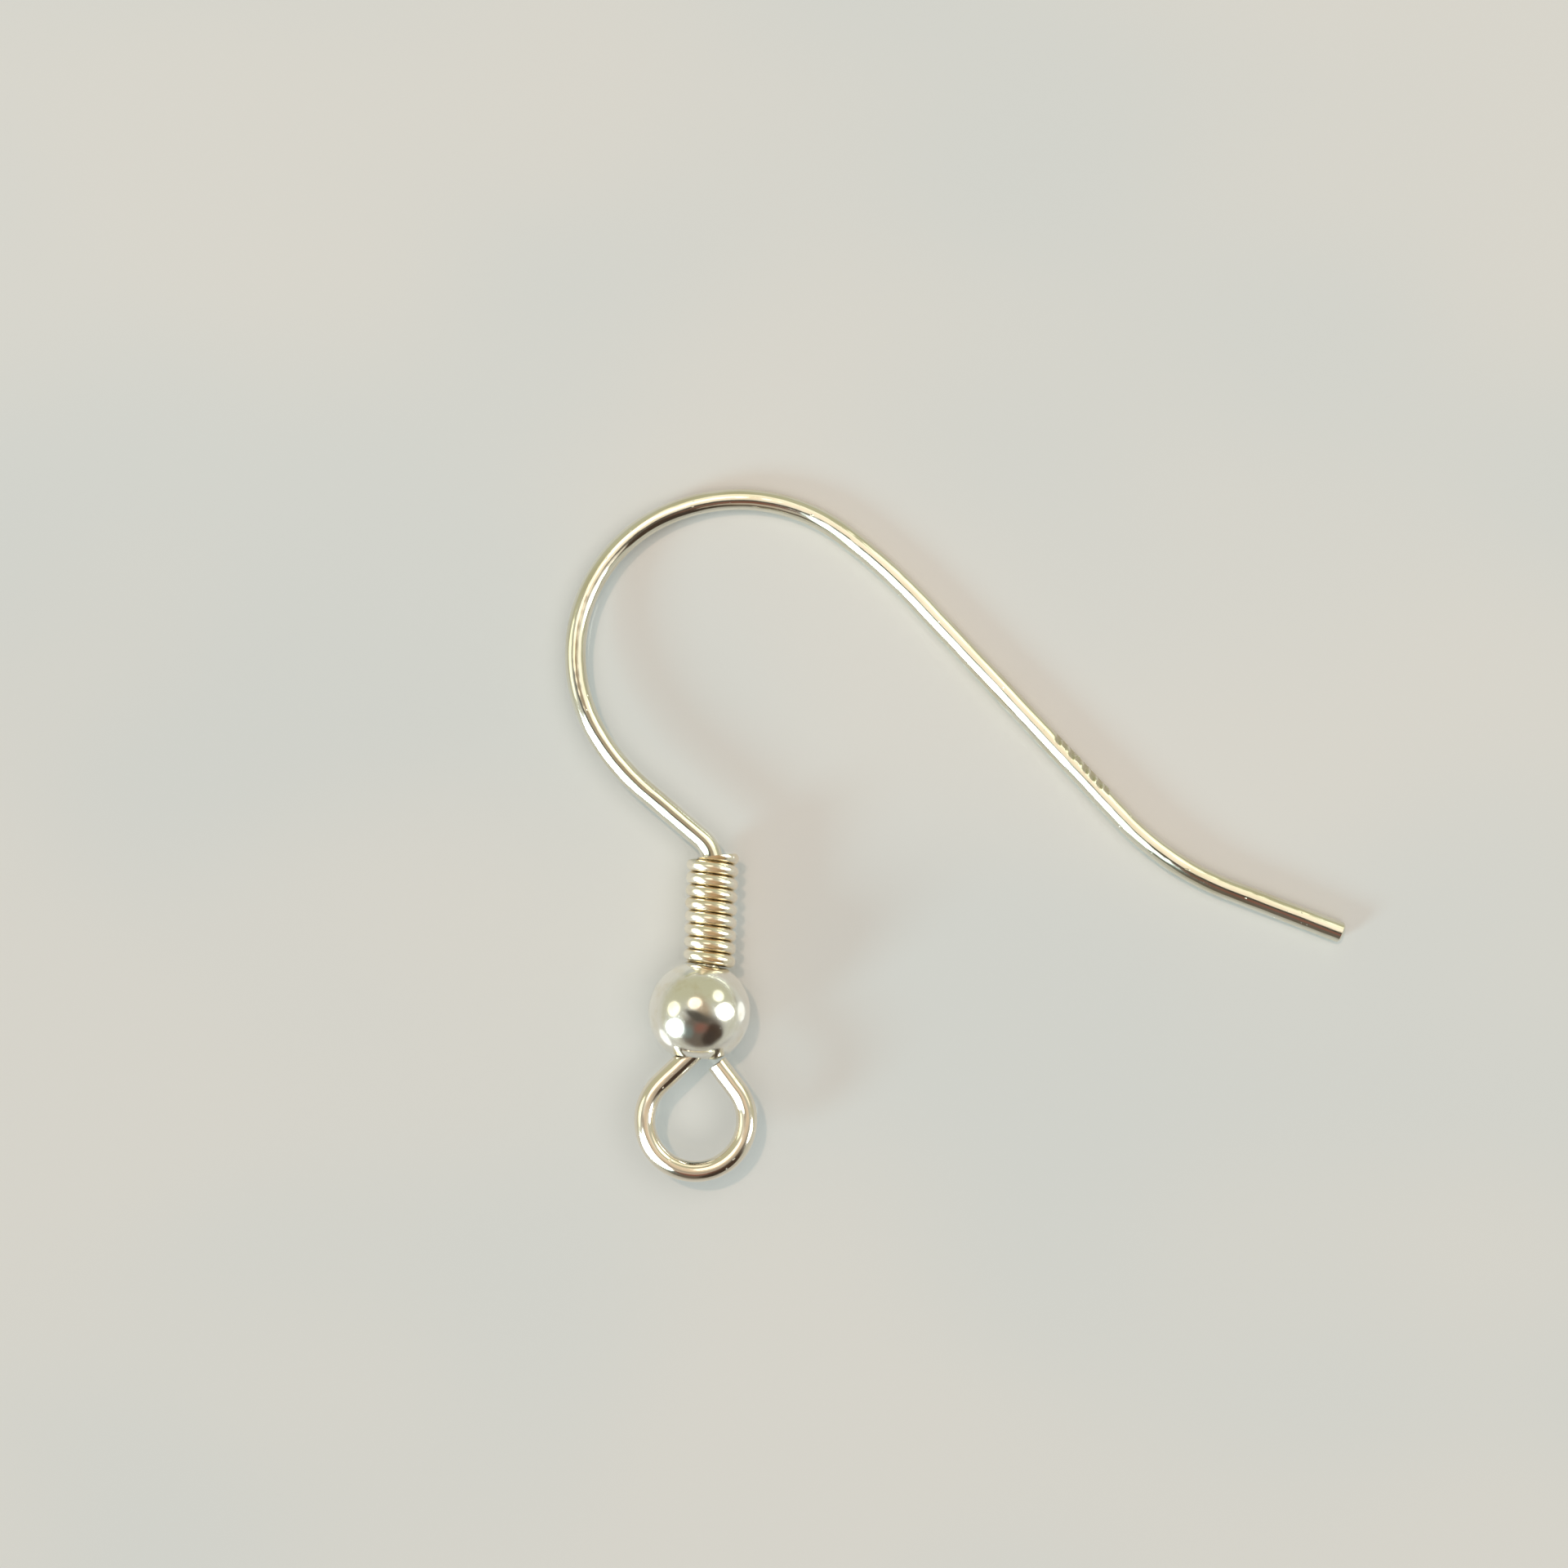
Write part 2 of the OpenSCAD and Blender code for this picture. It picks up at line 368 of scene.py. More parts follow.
# %% Press the nicks in
TAIL = [name for name, *_ in WALK].index("tail and kick")
_, TAIL_HEADING, _, _, _, _, TAIL_START = LEGS[TAIL]
NICKS_AT = [TAIL_START + place * MM for place in (5.86, 6.12, 6.47, 6.73, 7.07, 7.38, 7.70, 8.00)]
NICK_SLANT = 0.35
NICK_UP = radians(38)
NICK_REACHES = [radians(up) for up in (30, 27, 36, 26, 34, 31, 33, 25)]
PRESS_DEPTHS = [depth * MM for depth in (0.026, 0.024, 0.030, 0.023, 0.029, 0.026, 0.028, 0.022)]
TOOTH_TIP = 0.075 * MM
TOOTH_ROOT = 0.115 * MM
TIP_REACH = 0.75
outward = Vector((-sin(TAIL_HEADING) * cos(NICK_UP), cos(TAIL_HEADING) * cos(NICK_UP), sin(NICK_UP)))


def under_tooth(flat, number, half_width, reach):
    """Whether a place on the unbent wire lies under one tooth of the pliers"""
    up = atan2(flat.z, flat.y) - NICK_UP
    middle = NICKS_AT[number] + NICK_SLANT * WIRE_R * up
    return abs(up) < reach and abs(flat.x - middle) < half_width


only(hook)
bpy.ops.object.mode_set(mode="EDIT")
pressed = 0
for number, full_reach in enumerate(NICK_REACHES):
    for half_width, reach in ((TOOTH_ROOT, full_reach), (TOOTH_TIP, TIP_REACH * full_reach)):
        pressed += pick(hook, lambda co: under_tooth(unbent(co), number, half_width, reach))
        bpy.ops.transform.translate(value=-PRESS_DEPTHS[number] * outward)
bpy.ops.object.mode_set(mode="OBJECT")
bitten = hook.data.attributes.new("bitten", "FLOAT", "POINT")
bitten.data.foreach_set("value", [
    float(any(under_tooth(flat, number, TOOTH_ROOT, reach)
              for number, reach in enumerate(NICK_REACHES)))
    for flat in HOOK_UNBENT])
print(len(NICKS_AT), "nicks pressed at", pressed, "points")

# %% Lay the wire down and hand it over
smooth(hook)
lay_down(hook)
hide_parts("hook_wire")
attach(hook, "root")
low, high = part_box("hook_wire")
made = [hook.matrix_world @ point.co for point in hook.data.vertices]
for axis, label in enumerate("xyz"):
    print(label, "off by mm", round((min(p[axis] for p in made) - low[axis]) / MM, 4),
          round((max(p[axis] for p in made) - high[axis]) / MM, 4))

# %% [markdown]
# ## The coil
# A finer wire is wound tightly round the shank. One round section and the Screw modifier make all its
# turns at once, where copying single turns would leave seams. The winding falls from left to right in
# front, and it is made a little too long at both ends, because the ends are trimmed afterwards.

# %% Wind the coil
COIL_SIDES = 16
STEPS_PER_TURN = 44
FIRST_ANGLE = radians(-148)
FIRST_Z = 3.36 * MM
COIL_TURNS = 9.55
bpy.ops.object.select_all(action="DESELECT")
bpy.ops.mesh.primitive_circle_add(
    vertices=COIL_SIDES, radius=COIL_WIRE_R, fill_type="NOTHING",
    location=(COIL_MEAN_R * cos(FIRST_ANGLE), COIL_MEAN_R * sin(FIRST_ANGLE), FIRST_Z),
    rotation=(pi / 2, 0, FIRST_ANGLE))
coil = bpy.context.object
coil.name = "wound_coil"
bpy.ops.object.transform_apply(location=True, rotation=True, scale=True)
winding = coil.modifiers.new("winding", "SCREW")
winding.axis = "Z"
winding.angle = 2 * pi * COIL_TURNS
winding.screw_offset = -COIL_PITCH * COIL_TURNS
winding.steps = winding.render_steps = round(COIL_TURNS * STEPS_PER_TURN)
bpy.ops.object.modifier_apply(modifier="winding")
print("coil:", COIL_TURNS, "turns,", len(coil.data.polygons), "faces")

# %% [markdown]
# On the real coil both ends are cut off across the winding. The upper cut slants up to the right by a
# few degrees, so that the last strand starts in front and thickens as it goes round. The lower cut lies
# along the lip of the tilted bead that it stands on. A bisect that fills its cut does what the cutters
# did. The place on the unwound wire is worked out from the helix, for the plating.

# %% Trim both ends and store the unwound place
UPPER_CUT = (Vector((0, 0, 3.25 * MM)), radians(9))
LOWER_CUT = (Vector((-LIP_R, 0, 0)), -BEAD_TILT)
NO_SNAP = 1e-8


def unwound(point):
    """The place of a point of the coil on its straight wire"""
    turned = (atan2(point.y, point.x) - FIRST_ANGLE) / (2 * pi)
    turns = turned + round((FIRST_Z - point.z) / COIL_PITCH - turned)
    strand_z = FIRST_Z - COIL_PITCH * turns
    outwards = hypot(point.x, point.y) - COIL_MEAN_R
    return Vector((2 * pi * COIL_MEAN_R * turns, outwards, point.z - strand_z))


only(coil)
bpy.ops.object.mode_set(mode="EDIT")
for (place, slant), side in ((UPPER_CUT, 1), (LOWER_CUT, -1)):
    bpy.ops.mesh.select_all(action="SELECT")
    bpy.ops.mesh.bisect(plane_co=place, plane_no=(-side * sin(slant), 0, side * cos(slant)),
                        clear_outer=True, use_fill=True, threshold=NO_SNAP)
bpy.ops.mesh.select_all(action="SELECT")
bpy.ops.mesh.normals_make_consistent(inside=False)
bpy.ops.object.mode_set(mode="OBJECT")
store_unbent(coil, [unwound(point.co) for point in coil.data.vertices])
print("coil open edges:", count_open_edges(coil))

# %% Stand the coil on the shank
UPRIGHT = Matrix.Rotation(-pi / 2, 4, "X")
smooth(coil, limit=50)
lay_down(coil, Matrix.Rotation(-SHANK_LEAN, 4, "Z") @ Matrix.Translation((0, COIL_SEAT, 0)) @ UPRIGHT)
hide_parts("coil")
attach(coil, "root")
print("coil hangs", round(min(point.co.z for point in coil.data.vertices) / MM, 3), "mm over the board")

# %% [markdown]
# ## The bead
# A hollow bead is pressed from thin tube, so its two holes have lips that roll inwards. It starts as a
# ball whose poles lie on the hole's line, because the rings of faces then run round the holes. Bisect
# cuts both caps off, the open edge is rolled in by short extrusions, and an inner ball, cut the same
# way, is bridged to it, which gives the wall.

# %% Outer ball with two rolled lips
BEAD_SEGMENTS = 96
BEAD_RINGS = 48
ROLL = [
    # inward and down in mm
    (0.035, 0.012),
    (0.03, 0.028),
    (0.015, 0.05),
]


def ball(radius):
    bpy.ops.mesh.primitive_uv_sphere_add(segments=BEAD_SEGMENTS, ring_count=BEAD_RINGS, radius=radius)


def cut_caps(height):
    for end in (1, -1):
        bpy.ops.mesh.select_all(action="SELECT")
        bpy.ops.mesh.bisect(plane_co=(0, 0, end * height), plane_no=(0, 0, end), clear_outer=True,
                            threshold=NO_SNAP)


bpy.ops.object.select_all(action="DESELECT")
ball(BEAD_R)
bead = bpy.context.object
bead.name = "hollow_bead"
bpy.ops.object.mode_set(mode="EDIT")
cut_caps(LIP_Z)
for end in (1, -1):
    pick(bead, lambda co: end * co.z > LIP_Z - SAME_POINT)
    edge_r, edge_z = LIP_R, LIP_Z
    for inward, down in ROLL:
        bpy.ops.mesh.extrude_region_move(TRANSFORM_OT_translate={"value": (0, 0, -end * down * MM)})
        edge_z -= down * MM
        bpy.ops.transform.resize(value=((edge_r - inward * MM) / edge_r,) * 2 + (1,),
                                 center_override=(0, 0, end * edge_z))
        edge_r -= inward * MM
bpy.ops.object.mode_set(mode="OBJECT")
print("the hole narrows to", round(edge_r / MM, 3), "mm radius")

# %% Inner ball and the wall between
INNER_R = BEAD_R - BEAD_WALL
INNER_Z = sqrt(INNER_R ** 2 - HOLE_R ** 2)
IN_HOLE = 1.01 * HOLE_R
SAME_HEIGHT = 1e-6


def on_hole_rings(co, end):
    """Whether a point is on the inner ball's rim or on the rolled lip's last ring"""
    height = end * co.z
    on_ring = abs(height - INNER_Z) < SAME_HEIGHT or abs(height - edge_z) < SAME_HEIGHT
    return on_ring and hypot(co.x, co.y) < IN_HOLE


bpy.ops.object.select_all(action="DESELECT")
ball(INNER_R)
hollow = bpy.context.object
bpy.ops.object.mode_set(mode="EDIT")
cut_caps(INNER_Z)
bpy.ops.mesh.select_all(action="SELECT")
bpy.ops.mesh.flip_normals()
bpy.ops.object.mode_set(mode="OBJECT")
only(bead)
hollow.select_set(True)
bpy.ops.object.join()
bpy.ops.object.mode_set(mode="EDIT")
for end in (1, -1):
    pick(bead, lambda co: on_hole_rings(co, end))
    bpy.ops.mesh.bridge_edge_loops()
bpy.ops.object.mode_set(mode="OBJECT")
print("bead:", len(bead.data.polygons), "faces,", count_open_edges(bead), "open edges")

# %% Hang the bead on the shank
smooth(bead, limit=40)
BEAD_MID = Vector((-cos(SHANK_LEAN), sin(SHANK_LEAN), 0)) * BEAD_SHIFT
lay_down(bead, Matrix.Translation(BEAD_MID)
         @ Matrix.Rotation(-SHANK_LEAN - BEAD_TILT, 4, "Z") @ UPRIGHT)
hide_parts("bead")
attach(bead, "root")
print("bead rests at", round(min(point.co.z for point in bead.data.vertices) / MM, 4), "mm")

# %% [markdown]
# ## Bright silver plate
# All three pieces carry the same thin silver plate over brass. What differs is the metal below: the
# hook wire is drawn and bent, the coil's wire is drawn finer and wound, and the bead is polished. Plate
# is a metal shader with a low roughness, and all its character comes from small slopes in the surface.
# A few small helpers build the node trees.

# %% Start a finish, and add a node to it


def new_finish(name, **constants):
    finish = bpy.data.materials.new(name)
    finish.use_nodes = True
    shader = finish.node_tree.nodes["Principled BSDF"]
    for socket, value in constants.items():
        shader.inputs[socket.replace("_", " ").title()].default_value = value
    return finish, finish.node_tree, shader


def add_node(tree, kind, inputs=(), **settings):
    made_node = tree.nodes.new("ShaderNode" + kind)
    for setting, value in settings.items():
        setattr(made_node, setting, value)
    for socket, value in dict(inputs).items():
        if isinstance(value, bpy.types.NodeSocket):
            tree.links.new(value, made_node.inputs[socket])
        else:
            made_node.inputs[socket].default_value = value
    return made_node


# %% Patterns for a finish


def noise(tree, place, per_mm, detail, shift=(0, 0, 0)):
    """Noise with its own number of grains to the millimetre along each axis"""
    grains = [number / MM for number in per_mm]
    placed = add_node(tree, "Mapping", {"Vector": place, "Location": shift, "Scale": grains})
    grained = add_node(tree, "TexNoise", {"Vector": placed.outputs[0], "Scale": 1.0, "Detail": detail})
    return grained.outputs["Fac"]


def spread(tree, value, low, high, to_low, to_high):
    """Maps a value from one range to another, with soft ends"""
    ranges = {"From Min": low, "From Max": high, "To Min": to_low, "To Max": to_high}
    ranged = add_node(tree, "MapRange", {"Value": value, **ranges}, interpolation_type="SMOOTHSTEP")
    return ranged.outputs["Result"]


# %% Blends of colour, relief, and putting a finish on


def blend_colour(tree, factor, first, second):
    mixed = tree.nodes.new("ShaderNodeMix")
    mixed.data_type = "RGBA"
    tree.links.new(factor, mixed.inputs["Factor"])
    for socket, value in zip([i for i in mixed.inputs if i.type == "RGBA"], (first, second)):
        if isinstance(value, bpy.types.NodeSocket):
            tree.links.new(value, socket)
        else:
            socket.default_value = (*value, 1)
    return next(o for o in mixed.outputs if o.type == "RGBA")


def relief(tree, height, depth, below=None):
    """A bump of some depth in metres, laid over another one"""
    inputs = {"Height": height, "Strength": 1.0, "Distance": depth}
    if below:
        inputs["Normal"] = below
    return add_node(tree, "Bump", inputs).outputs[0]


def wear(piece, finish):
    piece.data.materials.clear()
    piece.data.materials.append(finish)


# %% [markdown]
# ## The plate on the drawn wires
# A wire that was pulled through a die has fine lines along it, slow waves from the bending pegs, and a
# few pits and rubbed spots. All of them read the unbent place, so the lines follow each bend. The hook
# and the coil share this, with their own depths.

# %% Plate of a drawn wire
HAIR_SHARE = 0.25
PIT_DEPTH = 0.012 * MM


def read_attribute(tree, name, output):
    return add_node(tree, "Attribute", attribute_name=name, attribute_type="GEOMETRY").outputs[output]


def drawn_plate(name, silver, rubbed, line_depth, wave_depth, rough_low, rough_high):
    finish, tree, shader = new_finish(name, metallic=1.0)
    straight = read_attribute(tree, "unbent", "Vector")
    lines = noise(tree, straight, (0.35, 14, 14), 3.0)
    hairs = noise(tree, straight, (0.8, 38, 38), 1.0, (5, 0, 0))
    waves = noise(tree, straight, (1.3, 1.6, 1.6), 1.0, (3, 0, 0))
    patches = noise(tree, straight, (0.5, 2.2, 2.2), 3.0, (11, 0, 0))
    pits = spread(tree, noise(tree, straight, (5, 8, 8), 1.0, (7, 0, 0)), 0.74, 0.82, 0.0, 1.0)
    waved = relief(tree, waves, wave_depth)
    lined = relief(tree, hairs, HAIR_SHARE * line_depth, relief(tree, lines, line_depth, waved))
    pitted = relief(tree, pits, -PIT_DEPTH, lined)
    tree.links.new(pitted, shader.inputs["Normal"])
    tree.links.new(spread(tree, lines, 0.3, 0.75, rough_low, rough_high), shader.inputs["Roughness"])
    tone = blend_colour(tree, spread(tree, patches, 0.42, 0.7, 0.0, 1.0), silver, rubbed)
    place = add_node(tree, "SeparateXYZ", {"Vector": straight}).outputs
    return finish, tree, shader, place, tone


# %% [markdown]
# On the hook the eye's plate is painted lighter and warmer, a painted cream highlight along the ring,
# and the nicks are painted darker, a painted shade in their dents. Both are blends over the plate's
# tone. The first reads how far along the wire a point is, and the second reads which points the pliers
# pressed.

# %% Plate on the hook wire
WIRE_SILVER = (0.82, 0.80, 0.70)
WIRE_RUBBED = (0.74, 0.70, 0.56)
# painted highlight: the eye's plate is lighter and warmer, a painted cream sheen round the ring
EYE_SHEEN = (0.87, 0.80, 0.69)
EYE_ENDS_AT = 11.5 * MM
EYE_FADE = 2 * MM
EYE_SHARE = 0.85
# painted shade: the points that the pliers pressed are darker, as the dents lie in shadow
NICK_SHADE = (0.56, 0.53, 0.38)
hook_finish, tree, shader, place, tone = drawn_plate(
    "drawn_wire_plate", WIRE_SILVER, WIRE_RUBBED,
    line_depth=0.0022 * MM, wave_depth=0.02 * MM, rough_low=0.07, rough_high=0.15)
# the eye's painted highlight fades out along the wire past the eye
on_eye = spread(tree, place["X"], EYE_ENDS_AT - EYE_FADE, EYE_ENDS_AT, EYE_SHARE, 0.0)
tone = blend_colour(tree, on_eye, tone, EYE_SHEEN)
# painted shade in the nicks, on the bitten points
tone = blend_colour(tree, read_attribute(tree, "bitten", "Fac"), tone, NICK_SHADE)
tree.links.new(tone, shader.inputs["Base Color"])
wear(hook, hook_finish)
print("the hook wire's plate has", len(tree.nodes), "nodes")

# %% [markdown]
# Towards the coil's grooves the plate is made darker and yellower. The unwound place tells how near a
# point is to the next strand, and that blends the darker tone in.

# %% Plate on the coil
COIL_SILVER = (0.92, 0.87, 0.76)
COIL_RUBBED = (0.86, 0.78, 0.62)
# darker, yellower tone towards the grooves between the strands
GROOVE_TONE = (0.80, 0.70, 0.52)
GROOVE_FROM = 0.55
coil_finish, tree, shader, place, tone = drawn_plate(
    "wound_wire_plate", COIL_SILVER, COIL_RUBBED,
    line_depth=0.003 * MM, wave_depth=0.01 * MM, rough_low=0.18, rough_high=0.27)
sideways = add_node(tree, "Math", {0: place["Z"]}, operation="ABSOLUTE").outputs[0]
groove = spread(tree, sideways, GROOVE_FROM * COIL_WIRE_R, COIL_WIRE_R, 0.0, 1.0)
tree.links.new(blend_colour(tree, groove, tone, GROOVE_TONE), shader.inputs["Base Color"])
wear(coil, coil_finish)
print("the coil's plate has", len(tree.nodes), "nodes")

# %% [markdown]
# ## The plate on the bead
# The bead was tumbled until it shone, which leaves it almost a mirror, with soft shallow dents, hair
# scratches in every direction and a faint haze. It has no direction of its own, so its patterns read
# plain object coordinates.

# %% Plate for the bead
SILVER = (0.90, 0.885, 0.83)
WARM_SILVER = (0.84, 0.80, 0.69)
DENT_DEPTH = 0.025 * MM
SCRATCH_DEPTH = 0.0006 * MM
bead_finish, tree, shader = new_finish("tumbled_bead_plate", metallic=1.0)
whole = add_node(tree, "TexCoord").outputs["Object"]
dents = noise(tree, whole, (0.9, 0.9, 0.9), 1.0)
haze = noise(tree, whole, (2.5, 2.5, 2.5), 4.0, (5, 0, 0))
scratch_a = noise(tree, whole, (1.5, 26, 26), 2.0, (2, 0, 0))
scratch_b = noise(tree, whole, (24, 2, 24), 2.0, (0, 9, 0))
dented = relief(tree, dents, DENT_DEPTH)
rubbed = relief(tree, spread(tree, scratch_a, 0.66, 0.72, 0.0, 1.0), -SCRATCH_DEPTH, dented)
rubbed = relief(tree, spread(tree, scratch_b, 0.67, 0.73, 0.0, 1.0), -SCRATCH_DEPTH, rubbed)
tree.links.new(rubbed, shader.inputs["Normal"])
tree.links.new(spread(tree, haze, 0.35, 0.7, 0.12, 0.18), shader.inputs["Roughness"])
tree.links.new(blend_colour(tree, spread(tree, haze, 0.45, 0.75, 0.0, 1.0), SILVER, WARM_SILVER),
               shader.inputs["Base Color"])
wear(bead, bead_finish)
print("the bead's plate has", len(tree.nodes), "nodes")

# %% [markdown]
# ## The floor
# The hook lies on a pale glazed board. A board is never quite even, so its colour drifts very slowly
# and its gloss has a fine speckle.

# %% Pale board
BOARD_SIZE = 8
BOARD_WARM = (0.73, 0.705, 0.66)
BOARD_COOL = (0.69, 0.69, 0.66)
bpy.ops.object.select_all(action="DESELECT")
bpy.ops.mesh.primitive_plane_add(size=BOARD_SIZE)
floor = bpy.context.object
floor.name = "pale_board"
floor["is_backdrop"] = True
board, tree, shader = new_finish("pale_board")
whole = add_node(tree, "TexCoord").outputs["Object"]
drift = noise(tree, whole, (0.05, 0.07, 0.07), 1.0)
speckle = noise(tree, whole, (9, 9, 9), 0.0, (4, 4, 0))
tree.links.new(blend_colour(tree, spread(tree, drift, 0.35, 0.65, 0.0, 1.0), BOARD_WARM, BOARD_COOL),
               shader.inputs["Base Color"])
tree.links.new(spread(tree, speckle, 0.3, 0.7, 0.07, 0.11), shader.inputs["Roughness"])
wear(floor, board)
print("the board is", BOARD_SIZE, "m wide")

# %% [markdown]
# ## The room
# Polished metal shows the room more than itself, so the room is drawn with care, but kept plain: pale
# khaki walls, and one dim side with a reddish cloth. It was read in the bead: each thing there has a
# bearing and an angle from straight up. The camera sees the bead a little from the side, and LEAN turns
# all directions by that much.

# %% Directions read in the bead
UP = Vector((0, 0, 1))
CAMERA_MM = (-5.294, 1.497, 100)
CAMERA_PLACE = Vector(CAMERA_MM) * MM
LEAN = UP.rotation_difference(CAMERA_PLACE - LAY @ BEAD_MID)


def look(bearing, from_top):
    """Away, level and upright axes; +X has bearing 0 and +Y has 90, in degrees"""
    b, t = radians(bearing), radians(from_top)
    away = LEAN @ Vector((sin(t) * cos(b), sin(t) * sin(b), cos(t)))
    level = LEAN @ Vector((-sin(b), cos(b), 0))
    return away, level, away.cross(level)


print("the bead is seen", round(degrees(LEAN.angle), 2), "degrees from straight above")

# %% [markdown]
# The dim things are a world of a few soft round cards. Each card is a Mapping that turns one direction
# of the sky into the middle of a round gradient. Light that the board has scattered can't show them, so
# it takes one plain colour instead, which renders much faster.

# %% Dim cards in the world
room = bpy.data.worlds.new("room")
bpy.context.scene.world = room
room.use_nodes = True
room.cycles.sampling_method = "NONE"
tree = room.node_tree
sky = add_node(tree, "TexCoord").outputs["Generated"]
CARD_DEPTH = 3


def card(below, bearing, from_top, half_wide, half_tall, softness, colour):
    axes = look(bearing, from_top)
    turn = Matrix(axes).transposed().to_euler()
    size = (CARD_DEPTH, radians(half_wide), radians(half_tall))
    placing = {"Location": axes[0], "Rotation": turn, "Scale": size}
    seen = add_node(tree, "Mapping", {"Vector": sky, **placing}, vector_type="TEXTURE")
    disc = add_node(tree, "TexGradient", {"Vector": seen.outputs[0]}, gradient_type="SPHERICAL")
    return blend_colour(tree, spread(tree, disc.outputs["Fac"], 0.0, softness, 0.0, 1.0), below, colour)


CARDS = [
    # bearing, from top, half wide, half tall, softness, colour
    (90, 60, 120, 60, 0.7, (0.54, 0.53, 0.37)),
    (20, 8, 50, 24, 0.7, (0.46, 0.37, 0.26)),
    (-86, 48, 50, 45, 0.3, (0.15, 0.125, 0.10)),
    (-120, 54, 16, 22, 0.6, (0.17, 0.20, 0.18)),
    (-54, 60, 20, 28, 0.4, (0.065, 0.043, 0.03)),
    (-70, 68, 18, 24, 0.5, (0.06, 0.044, 0.034)),
    (-86, 37, 24, 19, 0.9, (0.25, 0.115, 0.085)),
    (-112, 13, 38, 12, 0.5, (0.09, 0.08, 0.065)),
]
WALLS = (0.60, 0.60, 0.55)
PLAIN_SKY = (0.36, 0.38, 0.363, 1)
room_colour = WALLS
for one_card in CARDS:
    room_colour = card(room_colour, *one_card)
plain_sky = add_node(tree, "Background", {"Color": PLAIN_SKY})
tree.links.new(room_colour, tree.nodes["Background"].inputs["Color"])
chosen = add_node(tree, "MixShader", {0: add_node(tree, "LightPath").outputs["Is Diffuse Ray"],
                                      1: tree.nodes["Background"].outputs[0], 2: plain_sky.outputs[0]})
tree.links.new(chosen.outputs[0], tree.nodes["World Output"].inputs["Surface"])
print(len(CARDS), "cards in the room")

# %% [markdown]
# ## The lights
# The bright shapes in the room are area lights: a round warm lamp, two windows and two pale panels.
# Each is placed by the direction that it is seen in, and its power follows from how bright it has to
# look. Light linking keeps them to the metal, so the board stays plain from every side. Three glows
# are for the hook or the coil only, which see other parts of the room than the bead does.

# %% Lamp, windows and panels
LIGHT_DISTANCE = 0.6
LIGHTS = {
    # bearing, from top, half wide, half tall, brightness
    "warm_lamp": (122, 21.5, 16, 15, (1.14, 1.0, 0.80)),
    "right_window": (-1, 61, 15, 23, (4.2, 4.4, 4.4)),
    "left_window": (-147, 71, 15, 21, (6.4, 7.6, 8.0)),
    "window_glow": (-137, 49, 18, 33, (1.8, 2.2, 2.2)),
    "left_glow": (-172, 70, 34, 22, (1.6, 1.65, 1.6)),
    "cloth_glow": (-86, 40, 46, 44, (0.34, 0.235, 0.11)),
    "left_panel": (175, 61, 15, 16, (0.96, 0.96, 0.74)),
    "far_panel": (39, 58, 13, 14, (0.95, 0.96, 0.78)),
}
REACHES = {
    # the others reach all three pieces
    "right_window": [coil, bead],
    "window_glow": [hook],
    "left_glow": [coil],
    "cloth_glow": [coil],
}
print(len(LIGHTS), "lights in the room")

# %% Hang a light, and choose what it reaches


def hang_light(name, middle, axes, wide, tall, brightness):
    """An area light that faces against the last of its three axes"""
    light = bpy.data.lights.new(name, "AREA")
    light.shape = "ELLIPSE"
    light.size = wide
    light.size_y = tall
    strongest = max(brightness)
    light.color = [channel / strongest for channel in brightness]
    area = pi / 4 * wide * tall
    light.energy = strongest * pi * area
    hung = bpy.data.objects.new(name, light)
    bpy.context.scene.collection.objects.link(hung)
    hung.matrix_world = Matrix.Translation(middle) @ Matrix(axes).transposed().to_4x4()
    hung.visible_camera = False
    return hung


def light_only(light, pieces):
    reached = bpy.data.collections.new(light.name + "_reaches")
    for piece in pieces:
        reached.objects.link(piece)
    light.light_linking.receiver_collection = reached


# %% Hang the lights of the room
for name, (bearing, from_top, half_wide, half_tall, brightness) in LIGHTS.items():
    away, level, upright = look(bearing, from_top)
    wide = 2 * LIGHT_DISTANCE * tan(radians(half_wide))
    tall = 2 * LIGHT_DISTANCE * tan(radians(half_tall))
    lit = hang_light(name, away * LIGHT_DISTANCE, (level, upright, away), wide, tall, brightness)
    print(name, "gives", round(lit.data.energy, 3), "W")
    light_only(lit, REACHES.get(name, [hook, coil, bead]))

# %% [markdown]
# On a real glazed board the windows show a second time, lower down, in the bead. Here two pale glints
# lie on the board beside the bead for that, and only the bead shows them.

# %% Glints beside the bead
GLINT_HEIGHT = 0.05 * MM
UNDER_BEAD = LAY @ BEAD_MID
UNDER_BEAD.z = GLINT_HEIGHT
GLINTS = {
    # bearing, distance, wide and long in mm, brightness
    "right_glint": (-1, 12.0, 4.6, 15.5, (0.50, 0.52, 0.52)),
    "left_glint": (-142, 11.0, 4.0, 13.0, (0.60, 0.64, 0.66)),
}


def level_way(bearing):
    return Vector((cos(radians(bearing)), sin(radians(bearing)), 0))


for name, (bearing, distance, wide, long, brightness) in GLINTS.items():
    away = level_way(bearing)
    middle = UNDER_BEAD + distance * MM * away
    lit = hang_light(name, middle, (UP.cross(away), away, -UP), wide * MM, long * MM, brightness)
    light_only(lit, [bead])
    print(name, "lies", distance, "mm from the bead's middle")

# %% [markdown]
# Shadows need small lights. The lamp has a small bright bulb, which makes the one crisp shadow, and the
# left window lets in a beam, low over the board, which makes the soft one. Much of the other light
# comes from a broad pale ceiling, so the board stays bright close to the pieces. All three are suns,
# each as wide as its source looks, and the metal doesn't mirror them.

# %% Bulb, window beam and ceiling


def add_sun(name, towards_it, angle, brightness):
    sun = bpy.data.objects.new(name, bpy.data.lights.new(name, "SUN"))
    bpy.context.scene.collection.objects.link(sun)
    sun.data.angle = radians(angle)
    sun.data.energy = max(brightness)
    sun.data.color = [channel / max(brightness) for channel in brightness]
    sun.visible_glossy = False
    sun.rotation_euler = towards_it.to_track_quat("Z", "Y").to_euler()
    print(name, "is", angle, "degrees wide")


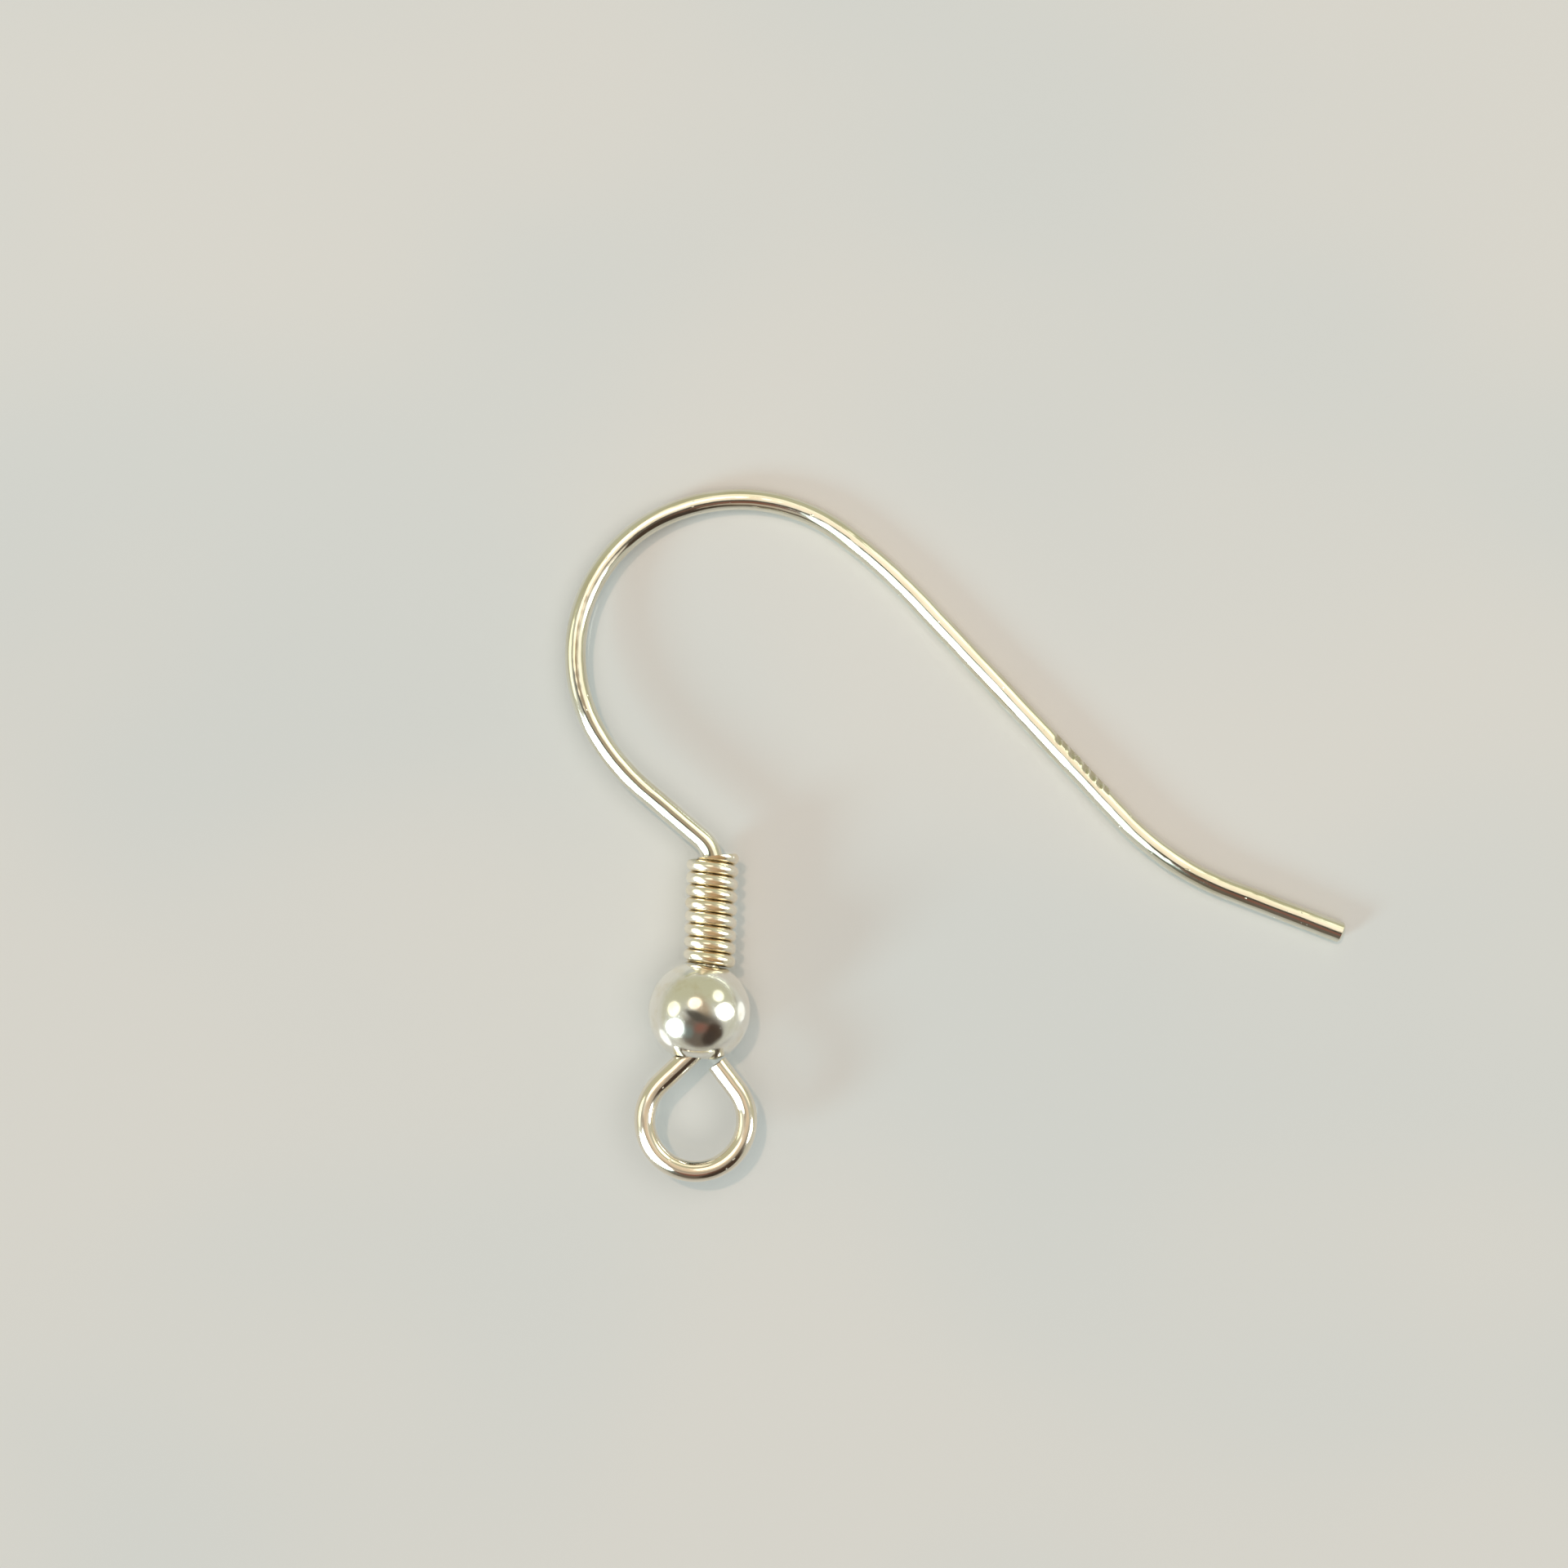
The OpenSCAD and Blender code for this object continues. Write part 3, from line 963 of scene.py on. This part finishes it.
add_sun("bulb", Vector((-0.164, 0.26, 1)), 2, (0.52, 0.36, 0.27))
add_sun("window_beam", Vector((-0.80, -0.47, 0.41)), 15, (0.50, 0.86, 1.02))
add_sun("ceiling", Vector((0.1, 0, 1)), 60, (1.17, 1.14, 1.11))

# %% [markdown]
# Thin bright wire turns grey in a dim room, so photographers hold small cards close to it. Light
# linking lets the ones here reach the hook alone: a cream card beyond the arch, another beyond the tail
# and a dim one over the eye. Far to the right stands a white pane, which the hook shows in place of the
# right window. The cards face straight down, and the pane faces the hook.

# %% Cards and a pane for the hook alone
CREAM = (0.74, 0.68, 0.58)
HOOK_CARDS = {
    # middle in mm, bearing of its width, wide and tall in mm, brightness
    "card_over_arch": ((-6.0, 20.5, 15), 0, 19, 25, CREAM),
    "card_over_tail": ((9.7, 9.8, 15), -47, 30, 23.3, CREAM),
    "card_over_eye": ((-8.0, -9.0, 14), 0, 15, 15, (0.36, 0.31, 0.25)),
    "side_pane": ((210, -44, 129), 78, 92, 137, (4.2, 4.4, 4.4)),
}
for name, (middle, bearing, wide, tall, brightness) in HOOK_CARDS.items():
    across = level_way(bearing)
    back = Vector(middle).normalized() if name == "side_pane" else UP
    axes = (across, back.cross(across), back)
    lit = hang_light(name, Vector(middle) * MM, axes, wide * MM, tall * MM, brightness)
    light_only(lit, [hook])
    print(name, "is", wide, "by", tall, "mm")

# %% [markdown]
# ## The camera
# The picture was taken from straight above, about 100 mm away. The standard view transform keeps the
# pale board as pale as it is lit.

# %% Camera
HALF_VIEW_MM = 24.24
bpy.context.scene.view_settings.view_transform = "Standard"
bpy.context.scene.cycles.max_bounces = 4
bpy.context.scene.cycles.diffuse_bounces = 2
camera = bpy.data.objects.new("camera", bpy.data.cameras.new("camera"))
bpy.context.scene.collection.objects.link(camera)
bpy.context.scene.camera = camera
camera.location = CAMERA_PLACE
camera.data.angle = 2 * atan2(HALF_VIEW_MM, CAMERA_MM[2])
camera.data.clip_start = 1 * MM
print("the camera sees", round(degrees(camera.data.angle), 2), "degrees")

# %% Measure and finish
VISUAL_BOX = [list(corner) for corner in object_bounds()]
for label, solid, seen in zip(("low", "high"), CAD_BOX, VISUAL_BOX):
    print(label, "corner off by mm:", [round((b - a) / MM, 4) for a, b in zip(solid, seen)])
